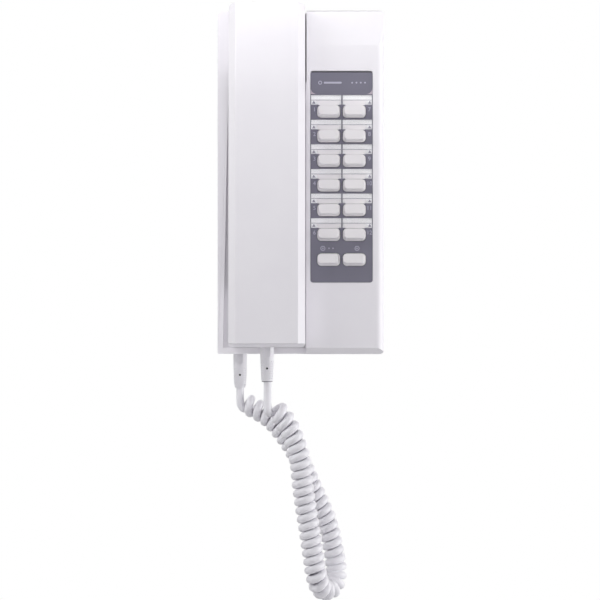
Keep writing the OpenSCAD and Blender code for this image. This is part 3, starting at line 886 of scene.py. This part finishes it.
def makeHeaderCorners():  # the lighter bits beside the heading's rounded lower corners
    p = panel
    inset = p["headerInset"]
    strip = block("headerCorners", (p["left"] + inset, -p["front"] - 0.04, p["headerBottom"]),
                  (p["right"] - inset, -p["front"] + 0.1, p["headerBottom"] + p["headerCorner"]))
    heading = roundedBlock("heading", (p["left"] + 0.1, -p["front"] - 1, p["headerBottom"]),
                           (p["right"] - 0.1, -p["front"] + 1, p["top"]), p["headerCorner"], 10)
    cut(strip, heading)
    ink(strip, "cornerPlastic")


makePlate()
makeCards()
makeMarks()
makeHeaderCorners()
print("label panel made")


# boots
boots = {
    "base": {"x": -40.2, "depth": 18, "shadeEnd": 0.1, "top": -110.3, "wall": -112.5, "end": -135.5,
             "profile": ((6, 0), (6, 2), (4.5, 2), (4.5, 6), (4.42, 12), (4.2, 19), (3.95, 22.4), (3.5, 24.4),
                         (3.2, 25.2))},
    "handset": {"x": -21.7, "depth": 47, "shadeEnd": 0.65, "top": -104.4, "wall": -107.5, "end": -130,
                "profile": ((6, 0), (6, 2), (4.5, 2), (4.5, 6), (4.35, 12), (4.05, 19), (3.85, 24), (3.6, 25),
                            (3.4, 25.6))},
    "dimple": 0.42, "dimpleDepth": 0.6, "around": 14, "rowPitch": 1.55, "dimpleFrom": 2.2, "dimpleTo": 14,
    "channel": 1.9, "channelDepth": 3.3, "channelFrom": 15.5, "eye": 0.7, "eyeHeight": 8.8, "eyeBack": 2.2,
    "eyeFloor": 4.05, "front": 8}  # heights are above each boot's lower end


def turned(name, centre, profile, sides=56):  # a turned shape that hangs down from its centre
    bpy.ops.object.select_all(action="DESELECT")
    x, y, z = centre
    bpy.ops.mesh.primitive_circle_add(vertices=sides, radius=profile[0][0] * mm, fill_type="NGON",
                                      location=Vector(centre) * mm)
    piece = settle(bpy.context.object, name)
    bpy.ops.object.mode_set(mode="EDIT")
    bpy.ops.mesh.select_all(action="SELECT")
    for (before, top), (radius, below) in zip(profile, profile[1:]):
        bpy.ops.mesh.extrude_region_move(TRANSFORM_OT_translate={"value": (0, 0, (top - below) * mm)})
        bpy.ops.transform.resize(value=(radius / before, radius / before, 1),
                                 center_override=Vector((x, y, z - below)) * mm)
    bpy.ops.mesh.select_all(action="SELECT")
    bpy.ops.mesh.remove_doubles(threshold=0.001 * mm)
    bpy.ops.mesh.normals_make_consistent(inside=False)
    done()
    return piece


def makeBoot(kind, name, slot, node):
    b = boots[kind]
    x, depth = b["x"], b["depth"]
    boot = turned(name, (x, -depth, b["top"]), b["profile"])
    reach = b["top"] - b["end"]
    profile = [(r, b["top"] - z * reach / b["profile"][-1][1]) for r, z in b["profile"]]
    tools = []
    low, high = b["end"] + boots["dimpleFrom"], b["end"] + boots["dimpleTo"]
    rows = round((high - low) / boots["rowPitch"])
    for row in range(rows):
        z = low + row * boots["rowPitch"]
        radius = max(r for r, at in profile[2:] if at <= z + 3)
        for k in range(boots["around"]):
            angle = math.tau * (k + 0.5 * (row % 2)) / boots["around"]
            out = Vector((math.sin(angle), -math.cos(angle), 0))
            centre = Vector((x, -depth, z))
            tools.append(rod("dimple", boots["dimple"], centre + out * (radius - boots["dimpleDepth"]),
                             centre + out * (radius + 1.5), 10))
    cut(boot, join("dimples", *tools))
    wide, front, rise = boots["channel"], -depth - boots["front"], boots["eyeHeight"]
    eyeZ = b["end"] + rise
    cut(boot, roundedBlock("channel", (x - wide, front, b["end"] + boots["channelFrom"]),
                           (x + wide, -depth - boots["channelDepth"], b["wall"] + 3), wide - 0.05),
        rod("eye", boots["eye"], (x, -depth - boots["eyeBack"], eyeZ), (x, front, eyeZ), 24))
    smooth(boot, 35)
    paint(boot, "bootPlastic", "blackPlastic", "bootEndShade")
    # the floor of each eye is painted black as the shade inside the hole
    finishFaces(boot, 1, lambda mid, out: math.hypot(mid.x - x, mid.z - b["end"] - rise) < boots["eye"] + 0.02
                and -depth - boots["eyeFloor"] < mid.y < -depth)
    # the lower end of each boot is painted darker as the shade under it
    finishFaces(boot, 2, lambda mid, out: mid.z < b["end"] + b["shadeEnd"])
    fit(boot, slot, "boot_plastic", node)


makeBoot("base", "baseBoot", "base", "base_boot")
makeBoot("handset", "handsetBoot", "handset", "handset_boot")
print("boots made")


# studio
studio = {"floorZ": -600, "floorHalf": 900, "floorGlow": 0.72, "aim": (0, -40, -20),
          "ambient": (0.93, 0.93, 1, 1), "ambientStrength": 0.02}

bpy.ops.object.select_all(action="DESELECT")
bpy.ops.mesh.primitive_plane_add(size=2 * studio["floorHalf"] * mm, location=(0, 0, studio["floorZ"] * mm))
floor = bpy.context.object
floor.name = "studioFloor"
floorMaterial, floorPlace, floorFeed = newMaterial("studioFloor", {"Emission Strength": studio["floorGlow"]})
floorFeed("Emission Color", floorPlace.make("ShaderNodeLightPath").blend(shade("000000"), shade("ffffff")))
floorFeed("Base Color", noise(floorPlace, 3, 2).blend(shade("f4f4f4"), shade("f0f0f0")))
floorFeed("Roughness", 0.6 + noise(floorPlace, 30, 2) * 0.1)
floor.data.materials.append(floorMaterial)

lights = {  # place, size across and down, power, colour
    "topClose": ((0, -170, 230), (420, 120), 0.36, (1, 1, 1)),
    "topLeft": ((-500, -350, 300), (400, 400), 1.8, (1, 1, 1)),
    "frontFill": ((0, -1500, -60), (1600, 1200), 7.2, (0.98, 0.975, 1)),
    "leftWall": ((-750, -120, -60), (500, 900), 1.6, (1, 1, 1)),
    "rightWall": ((750, -120, -60), (500, 900), 5.4, (1, 1, 1)),
    "behind": ((0, 1400, 150), (1600, 1200), 5.0, (1, 1, 1)),
}
for name, (place, size, power, colour) in lights.items():
    bpy.ops.object.light_add(type="AREA", location=[v * mm for v in place])
    light = bpy.context.object
    light.name = name
    light.data.shape = "RECTANGLE"
    light.data.size = size[0] * mm
    light.data.size_y = size[1] * mm
    light.data.energy = power
    light.data.color = colour
    toAim = Vector(studio["aim"]) * mm - light.location
    light.rotation_euler = toAim.to_track_quat("-Z", "Y").to_euler()

world = bpy.data.worlds.new("studio")
bpy.context.scene.world = world
world.use_nodes = True
sky = Flow(world.node_tree)
world.node_tree.nodes.clear()
seen = sky.make("ShaderNodeLightPath")
mirrored = sky.make("ShaderNodeLightPath", out="Is Glossy Ray")
ambient = sky.make("ShaderNodeBackground", None,
                   {"Color": studio["ambient"], "Strength": studio["ambientStrength"]})
white = sky.make("ShaderNodeBackground", None, {"Color": (1, 1, 1, 1), "Strength": 1.0})
mixed = sky.make("ShaderNodeMixShader", None, {0: seen + mirrored, 1: ambient, 2: white})
sky.make("ShaderNodeOutputWorld", None, {"Surface": mixed})
bpy.context.scene.view_settings.view_transform = "Standard"
bpy.context.scene.view_settings.look = "None"
print("studio lit")
